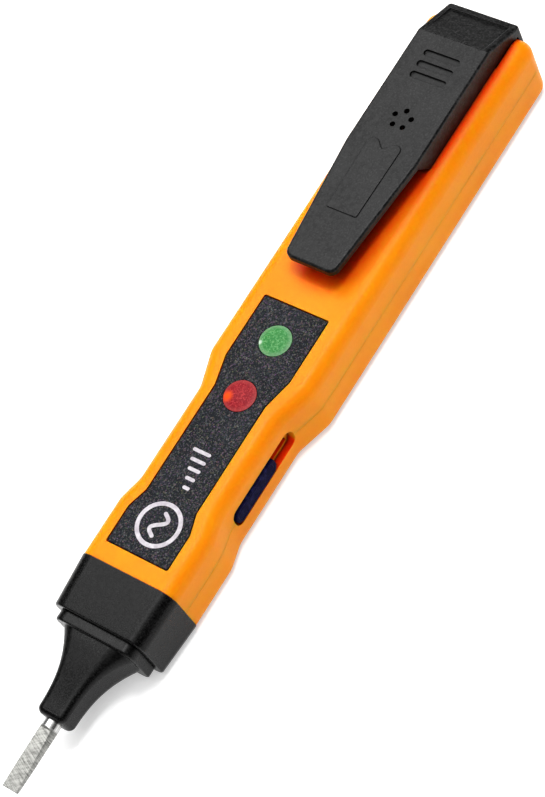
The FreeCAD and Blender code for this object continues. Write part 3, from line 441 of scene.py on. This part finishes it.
def blade_steel():
    """Ground steel: cross marks from the wheel on the flats, and a bright drawn shaft."""
    made = Finish("blade_steel", {"Metallic": 1.0})
    flats_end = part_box("nose_cone")[0].x - SHAFT_SHOWN
    on_flat = made.span(made.axis("X"), [flats_end + offset for offset in FLATS_FADE])
    across = made.noise(0.16 * MM, 3.0, (1.0, 14.0, 14.0), WHEEL_TURN)
    counter = made.noise(0.3 * MM, 2.0, (1.0, 9.0, 9.0), COUNTER_TURN)
    drawn = made.noise(0.12 * MM, 2.0, (40.0, 1.0, 1.0))
    blotch = made.noise(0.9 * MM, 3.0)
    soft, edge = made.edges(0.06 * MM)
    marks = made.calc("ADD", made.calc("MULTIPLY", across, 0.65), made.calc("MULTIPLY", counter, 0.35))
    ground = made.blend(made.span(marks, (0.36, 0.62)), *GROUND_STEEL)
    shaft = made.blend(made.span(drawn, NOISE_NARROW), *DRAWN_STEEL)
    colour = made.blend(on_flat, shaft, ground)
    colour = made.blend(made.span(blotch, NOISE_PEAKS, 0.0, 0.4), colour, STEEL_BLOTCH)
    colour = made.blend(made.calc("MULTIPLY", edge, 0.4), colour, grey(0.85))
    rough = made.blend(on_flat, grey(0.26), made.blend(marks, grey(0.5), grey(0.68)))
    relief = made.bump(made.blend(on_flat, drawn, marks), 0.35, 0.03 * MM, soft)
    return made.done(base_color=colour, roughness=rough, normal=relief)


def knob_plastic():
    """Dark blue slider, a little scuffed where the thumb pushes it, with a painted highlight along its
    edges.
    """
    made = Finish("knob_plastic", {"IOR": 1.25, "Specular IOR Level": 0.1})
    scuff = made.noise(0.8 * MM, 4.0, (1.0, 1.0, 2.0))
    grain = made.noise(0.2 * MM)
    soft, edge = made.edges(0.1 * MM)
    colour = made.blend(made.span(grain, (0.4, 0.7)), KNOB_DEEP, KNOB_PALE)
    colour = made.blend(made.span(scuff, (0.5, 0.72), 0.0, 0.5), colour, KNOB_SCUFF)
    # Painted highlight: the edges are painted a paler violet
    colour = made.blend(made.calc("MULTIPLY", edge, 0.5), colour, KNOB_PAINTED_EDGE_HIGHLIGHT)
    rough = made.span(scuff, NOISE_NARROW, 0.52, 0.4)
    relief = made.bump(grain, 0.3, 0.02 * MM, soft)
    return made.done(base_color=colour, roughness=rough, normal=relief)


def fine_metal(name, colours, gloss, stretch=EVEN, dull=METAL_DULL):
    """Thin metal sheet, pin or cell can: fine rolling lines, dull patches and bright edges."""
    dark, light = colours
    made = Finish(name, {"Metallic": 1.0})
    lines = made.noise(0.15 * MM, 2.0, stretch)
    patches = made.noise(1.6 * MM, 4.0)
    soft, edge = made.edges(0.06 * MM)
    colour = made.blend(made.span(lines, NOISE_NARROW), dark, light)
    colour = made.blend(made.span(patches, (0.52, 0.75), 0.0, 0.5), colour, dull)
    colour = made.blend(made.calc("MULTIPLY", edge, 0.5), colour, light)
    rough = made.span(patches, NOISE_NARROW, *gloss)
    relief = made.bump(lines, 0.15, 0.02 * MM, soft)
    return made.done(base_color=colour, roughness=rough, normal=relief)


def moulded(name, colours, gloss=(0.35, 0.55), fixed=()):
    """Small moulded or fired part: mottled colour, fine grain and paler edges."""
    dark, light = colours
    made = Finish(name, fixed)
    mottle = made.noise(0.9 * MM, 3.0)
    grain = made.noise(0.15 * MM)
    soft, edge = made.edges(0.08 * MM)
    colour = made.blend(made.span(mottle, NOISE_NARROW), dark, light)
    pale = tuple(min(1.0, part * 1.6 + 0.02) for part in light[:3]) + (1,)
    colour = made.blend(made.calc("MULTIPLY", edge, 0.4), colour, pale)
    rough = made.span(mottle, NOISE_NARROW, *gloss)
    relief = made.bump(grain, 0.2, 0.02 * MM, soft)
    return made.done(base_color=colour, roughness=rough, normal=relief)


def board_laminate():
    """Green lacquered board with paler copper tracks under the lacquer."""
    made = Finish("board_laminate", {"Coat Weight": 0.4, "Coat Roughness": 0.12})
    soft, edge = made.edges(0.08 * MM)
    ports = {"Vector": made.scaled(2.2 * MM, (2.2, 1.0, 1.0)), "Scale": 1.0}
    maze = made.node("TexVoronoi", ports, feature="DISTANCE_TO_EDGE").outputs["Distance"]
    tracks = made.span(maze, (0.1, 0.06))
    weave = made.noise(0.3 * MM, 1.0)
    lacquer = made.blend(made.span(weave, NOISE_NARROW), *LACQUER)
    colour = made.blend(tracks, lacquer, LACQUERED_TRACK)
    colour = made.blend(edge, colour, BOARD_EDGE)
    rough = made.span(weave, NOISE_WIDE, 0.3, 0.42)
    relief = made.bump(tracks, 0.3, 0.03 * MM, soft)
    return made.done(base_color=colour, roughness=rough, normal=relief)


def resistor_body():
    """Tan lacquered resistor with coloured bands round it."""
    made = Finish("resistor_body", {"Coat Weight": 0.3})
    low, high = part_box("safety_resistor")
    along = made.span(made.axis("X"), (low.x, high.x))
    ramp = made.node("ValToRGB", {"Fac": along})
    ramp.color_ramp.interpolation = "CONSTANT"
    stops = ramp.color_ramp.elements
    for stop in stops:
        stop.color = RESISTOR_TAN
    for start, band in RESISTOR_BANDS:
        stops.new(start).color = band
        stops.new(start + BAND_WIDTH).color = RESISTOR_TAN
    mottle = made.noise(0.7 * MM, 3.0)
    soft, _ = made.edges(0.08 * MM)
    pale = made.span(mottle, (0.4, 0.7), 0.0, 0.3)
    colour = made.blend(pale, ramp.outputs["Color"], RESISTOR_MOTTLE)
    rough = made.span(mottle, NOISE_NARROW, 0.3, 0.45)
    relief = made.bump(mottle, 0.15, 0.03 * MM, soft)
    return made.done(base_color=colour, roughness=rough, normal=relief)


def plain_name(material):
    """A material's name without the number that Blender adds to a name that is taken."""
    return material.name.split(".")[0]


def make_finishes():
    """Every material by its name, which is its slot's name in the record where it has one."""
    lit = {"Subsurface Weight": 0.3, "Subsurface Scale": 0.5 * MM, "Coat Weight": 0.4}
    made = [
        orange_plastic(),
        black_plastic(),
        black_plastic("nose_plastic", grain_size=0.26, grain_strength=0.14, gloss=0.28, tone=0.35),
        label_film(),
        label_ink(),
        window("green_window", "green_led_lens", GREEN_GLASS, GREEN_GLOW_PLACE, GREEN_GLOW_RADIUS),
        window("red_window", "red_led_lens", RED_GLASS, RED_GLOW_PLACE, RED_GLOW_RADIUS),
        moulded("green_diode", GREEN_DIODE, (0.1, 0.2), lit),
        moulded("red_diode", RED_DIODE, (0.1, 0.2), lit),
        blade_steel(),
        knob_plastic(),
        fine_metal("screw_steel", (grey(0.1), grey(0.2)), (0.3, 0.45)),
        fine_metal("tinned_metal", (grey(0.5), grey(0.68)), (0.25, 0.4), (6.0, 1.0, 1.0)),
        fine_metal("spring_brass", BRASS, (0.22, 0.4), (1.0, 8.0, 1.0), BRASS_DULL),
        fine_metal("cell_steel", (grey(0.5), grey(0.66)), (0.16, 0.3), (8.0, 1.0, 1.0), grey(0.4)),
        board_laminate(),
        moulded("board_phenolic", PHENOLIC),
        moulded("chip_resin", (grey(0.008), grey(0.018))),
        resistor_body(),
        moulded("capacitor_ceramic", CERAMIC),
    ]
    return {plain_name(material): material for material in made}


def welded(node):
    """Bmesh of a CAD node with its split corners welded and its flat faces joined up."""
    source = nodes[node].data
    work = bmesh.new()
    points = [work.verts.new(vertex.co) for vertex in source.vertices]
    for polygon in source.polygons:
        work.faces.new([points[index] for index in polygon.vertices])
    bmesh.ops.remove_doubles(work, verts=work.verts, dist=WELD)
    bmesh.ops.dissolve_limit(work, angle_limit=COPLANAR, verts=work.verts, edges=work.edges)
    bmesh.ops.dissolve_degenerate(work, dist=SLIVER, edges=work.edges)
    return work


def piece_from(work, name, finish, bevel=0.0):
    """Smooth-shaded object from a bmesh, with rounded sharp edges, its modifiers applied."""
    bmesh.ops.recalc_face_normals(work, faces=work.faces)
    draft = bpy.data.meshes.new(name + "_draft")
    work.to_mesh(draft)
    work.free()
    draft.polygons.foreach_set("use_smooth", [True] * len(draft.polygons))
    draft.set_sharp_from_angle(angle=SMOOTH_ANGLE)
    piece = bpy.data.objects.new(name, draft)
    bpy.context.scene.collection.objects.link(piece)
    if bevel:
        rounding = piece.modifiers.new("rounding", "BEVEL")
        rounding.width = bevel
        rounding.segments = 2
        rounding.limit_method = "ANGLE"
        rounding.angle_limit = SMOOTH_ANGLE
        rounding.use_clamp_overlap = False
    weighting = piece.modifiers.new("weighting", "WEIGHTED_NORMAL")
    weighting.keep_sharp = True
    bpy.context.view_layer.update()
    graph = bpy.context.evaluated_depsgraph_get()
    final = bpy.data.meshes.new_from_object(piece.evaluated_get(graph), depsgraph=graph)
    final.name = name
    piece.modifiers.clear()
    piece.data = final
    bpy.data.meshes.remove(draft)
    final.materials.clear()
    final.materials.append(finish)
    return piece


def lies_at(face, places):
    """Whether all of a face's corners lie at one of a few places along X."""
    return all(any(abs(vertex.co.x - place) < FACE_REACH for place in places) for vertex in face.verts)


def take_in(work, other):
    """Adds another bmesh to a bmesh."""
    carry = bpy.data.meshes.new("carry")
    other.to_mesh(carry)
    other.free()
    work.from_mesh(carry)
    bpy.data.meshes.remove(carry)


def bridge_at(work, places):
    """Takes out the end faces at two places along X and joins their rims."""
    caps = [face for face in work.faces if lies_at(face, places)]
    bmesh.ops.delete(work, geom=caps, context="FACES")
    rims = [edge for edge in work.edges if edge.is_boundary]
    bmesh.ops.bridge_loops(work, edges=rims)


def cut_rows(work, start, length, steps):
    """Cuts across X at even distances in front of a start, so that the stretch can bend."""
    for step in range(steps + 1):
        spot = Vector((start - length * step / steps, 0, 0))
        everything = list(work.verts) + list(work.edges) + list(work.faces)
        bmesh.ops.bisect_plane(work, geom=everything, plane_co=spot, plane_no=Vector((1, 0, 0)))


def cover_and_clip(finish):
    """Battery cover and pocket clip as the one moulding that they are, cut into rows in front of the clip's
    root so that it can bend there.
    """
    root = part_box("battery_cover")[0].x
    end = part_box("clip_arm")[1].x
    work = welded("battery_cover")
    take_in(work, welded("clip_arm"))
    bridge_at(work, (root, end))
    cut_rows(work, root, BEND_LENGTH, BEND_STEPS)
    piece = piece_from(work, "cover_and_clip", finish)
    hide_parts("battery_cover", "clip_arm")
    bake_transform(piece)


def label_face(finish):
    """The label with softened edges."""
    piece = piece_from(welded("label_plate"), "label_face", finish, LABEL_BEVEL)
    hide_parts("label_plate")
    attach(piece, "housing")


def sides(line, width, closed):
    """Points to the left and to the right of a line of points, half a width away."""
    left, right = [], []
    count = len(line)
    for index, point in enumerate(line):
        before = line[index - 1] if closed or index else point
        after = line[(index + 1) % count] if closed or index < count - 1 else point
        run = (after - before).normalized()
        side = Vector((-run.y, run.x)) * width / 2
        left.append(point + side)
        right.append(point - side)
    return left, right


def end_arc(centre, start):
    """Points of the half circle, turned to the left from its start, that rounds the end of a stroke."""
    first = start - centre
    points = []
    for step in range(1, END_STEPS):
        angle = math.pi * step / END_STEPS
        turned = (
            first.x * math.cos(angle) - first.y * math.sin(angle),
            first.x * math.sin(angle) + first.y * math.cos(angle),
        )
        points.append(centre + Vector(turned))
    return points


def stroke(work, line, width, low, high):
    """Printed line, round at its ends, as a thin closed solid."""
    left, right = sides(line, width, False)
    outline = right + end_arc(line[-1], right[-1]) + left[::-1] + end_arc(line[0], left[0])
    slab(work, outline, low, high)


def hoop(work, line, width, low, high):
    """Printed line that closes on itself, as a thin closed solid."""
    left, right = sides(line, width, True)
    paths = ((left, high), (right, high), (right, low), (left, low))
    rings = [[work.verts.new((point.x, point.y, height)) for point in path] for path, height in paths]
    for ring, following in zip(rings, rings[1:] + rings[:1]):
        join(work, ring, following)


def join(work, ring, following):
    """Faces between two closed rings with the same number of corners."""
    for index in range(len(ring)):
        after = (index + 1) % len(ring)
        work.faces.new((ring[index], ring[after], following[after], following[index]))


def slab(work, outline, low, high):
    """Closed flat solid from an outline."""
    under = [work.verts.new((point.x, point.y, low)) for point in outline]
    over = [work.verts.new((point.x, point.y, high)) for point in outline]
    work.faces.new(under)
    work.faces.new(over)
    join(work, under, over)


def label_marks(finish):
    """Generic print on the label: a wave in a ring, and bars that grow."""
    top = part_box("label_plate")[1].z
    low, high = top - MARK_LIFT, top + MARK_LIFT
    work = bmesh.new()
    middle = Vector(RING_PLACE)
    turns = [2 * math.pi * step / RING_STEPS for step in range(RING_STEPS)]
    ring = [middle + RING_RADIUS * Vector((math.cos(turn), math.sin(turn))) for turn in turns]
    hoop(work, ring, RING_STROKE, low, high)
    shares = [2 * step / WAVE_STEPS - 1 for step in range(WAVE_STEPS + 1)]
    wave = [
        middle + Vector((share * WAVE_HALF_LENGTH, -WAVE_HEIGHT * math.sin(share * math.pi)))
        for share in shares
    ]
    stroke(work, wave, WAVE_STROKE, low, high)
    for index in range(BARS_COUNT):
        foot = Vector((BARS_START + index * BARS_PITCH, BARS_FOOT))
        head = foot + Vector((0, BARS_FIRST + index * BARS_STEP))
        stroke(work, [foot, head], BARS_STROKE, low, high)
    piece = piece_from(work, "label_marks", finish)
    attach(piece, "housing")


def rounded_loop(work, half_length, half_height, corner, centre, y):
    """Ring of vertices round a rounded rectangle in the XZ plane."""
    ring = []
    for quarter, (side_x, side_z) in enumerate(((1, 1), (-1, 1), (-1, -1), (1, -1))):
        for step in range(CORNER_STEPS + 1):
            angle = math.pi / 2 * (quarter + step / CORNER_STEPS)
            x = centre.x + side_x * (half_length - corner) + corner * math.cos(angle)
            z = centre.z + side_z * (half_height - corner) + corner * math.sin(angle)
            ring.append(work.verts.new((x, y, z)))
    return ring


def post(work, rings):
    """Closed solid through a row of rings."""
    work.faces.new(rings[0])
    work.faces.new(rings[-1])
    for ring, following in zip(rings, rings[1:]):
        join(work, ring, following)


def slider_knob(finish):
    """Thumb slider: rounded block with a fine line round its face, and the stem that drives the switch."""
    low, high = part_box("switch_knob")
    centre = (low + high) / 2
    half_length = (high.x - low.x) / 2 - KNOB_GAP
    half_height = (high.z - low.z) / 2 - KNOB_GAP
    back = low.y + KNOB_THICKNESS
    profile = [(0.0, back), (0.0, low.y + KNOB_ROUND)]
    for step in range(1, KNOB_STEPS + 1):
        angle = math.pi / 2 * step / KNOB_STEPS
        inset = KNOB_ROUND * (1 - math.cos(angle))
        profile.append((inset, low.y + KNOB_ROUND * (1 - math.sin(angle))))
    depths = (0.0, KNOB_LINE_DEPTH, KNOB_LINE_DEPTH, 0.0)
    profile += [(inset, low.y + depth) for inset, depth in zip(KNOB_LINE, depths)]
    work = bmesh.new()
    post(work, [
        rounded_loop(work, half_length - inset, half_height - inset, KNOB_CORNER - inset, centre, y)
        for inset, y in profile
    ])
    lever_low, lever_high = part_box("switch_lever")
    lever = (lever_low + lever_high) / 2
    ends = (back - STEM_OVERLAP, high.y)
    post(work, [rounded_loop(work, *STEM_HALF, STEM_CORNER, lever, y) for y in ends])
    piece = piece_from(work, "slider_knob", finish)
    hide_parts("switch_knob")
    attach(piece, "slider")


def driver_blade(finish):
    """The test blade with its ground edges just broken."""
    piece = piece_from(welded("test_blade"), "driver_blade", finish, BLADE_BEVEL)
    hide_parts("test_blade")
    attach(piece, "housing")


def dress_cad_nodes(finishes):
    """Gives every CAD node the finish of its slot, and the nose its smoother black."""
    for name, node in nodes.items():
        slot_name = plain_name(node.material_slots[0].material)
        if name in ("nose_collar", "nose_cone"):
            slot_name = "nose_plastic"
        node.material_slots[0].material = finishes[slot_name]


def soft_floor():
    """Pale matt paper floor, a hair under the tester."""
    work = bmesh.new()
    bmesh.ops.create_circle(work, cap_ends=True, segments=FLOOR_SIDES, radius=FLOOR_RADIUS)
    mesh = bpy.data.meshes.new("floor")
    work.to_mesh(mesh)
    work.free()
    floor = bpy.data.objects.new("floor", mesh)
    floor.location.z = -FLOOR_DROP
    bpy.context.scene.collection.objects.link(floor)
    glow = {"Emission Color": grey(1.0), "Emission Strength": FLOOR_GLOW}
    made = Finish("floor_paper", {"Specular IOR Level": 0.1, **glow})
    fibres = made.noise(2 * MM, 3.0)
    colour = made.blend(made.span(fibres, NOISE_WIDE), *map(grey, FLOOR_TONES))
    rough = made.span(fibres, NOISE_WIDE, 0.75, 0.85)
    mesh.materials.append(made.done(base_color=colour, roughness=rough))


def light_tent():
    """Soft white tent: brightest overhead, dark at low angles, and pale along the horizon."""
    world = bpy.data.worlds.new("tent")
    bpy.context.scene.world = world
    world.use_nodes = True
    tree = world.node_tree

    def calc(operation, first, second):
        return shader_node(tree, "Math", {0: first, 1: second}, operation=operation).outputs["Value"]

    direction = shader_node(tree, "TexCoord").outputs["Generated"]
    height = shader_node(tree, "SeparateXYZ", {"Vector": direction}).outputs["Z"]
    overhead = calc("MULTIPLY", calc("POWER", calc("MAXIMUM", height, 0.0), TENT_FALLOFF), TENT_PEAK)
    strip_full, strip_end = TENT_HORIZON_TOP
    ports = {"Value": height, "From Min": strip_end, "From Max": strip_full}
    horizon = calc("MULTIPLY", shader_node(tree, "MapRange", ports).outputs["Result"], TENT_HORIZON)
    background = tree.nodes["Background"]
    feed(tree, background.inputs["Color"], grey(1.0))
    feed(tree, background.inputs["Strength"], calc("ADD", calc("ADD", overhead, horizon), TENT_BASE))


def disc_lamp(name, place, size, radiance):
    """Round lamp of even radiance that faces the tester and isn't seen itself."""
    lamp = bpy.data.lights.new(name, "AREA")
    lamp.shape = "DISK"
    lamp.size = size
    lamp.energy = radiance * math.pi * math.pi * (size / 2) ** 2
    light = bpy.data.objects.new(name, lamp)
    light.location = place
    light.rotation_euler = place.to_track_quat("Z", "Y").to_euler()
    light.visible_camera = False
    bpy.context.scene.collection.objects.link(light)


def film():
    """Plain display transform with a little more contrast."""
    view = bpy.context.scene.view_settings
    view.view_transform = "Standard"
    view.look = FILM_LOOK


def camera():
    """Camera at the photographer's view."""
    data = bpy.data.cameras.new("camera")
    data.lens = CAMERA_LENS
    data.sensor_width = CAMERA_SENSOR
    data.clip_start = CAMERA_NEAR
    eye = bpy.data.objects.new("camera", data)
    eye.location = CAMERA_PLACE
    eye.rotation_euler = Euler([math.radians(angle) for angle in CAMERA_TURN], "XYZ")
    bpy.context.scene.collection.objects.link(eye)
    bpy.context.scene.camera = eye


finishes = make_finishes()
dress_cad_nodes(finishes)
cover_and_clip(finishes["black_plastic"])
label_face(finishes["label_film"])
label_marks(finishes["label_ink"])
slider_knob(finishes["knob_plastic"])
driver_blade(finishes["blade_steel"])
soft_floor()
light_tent()
for lamp in LAMPS:
    disc_lamp(*lamp)
camera()
film()
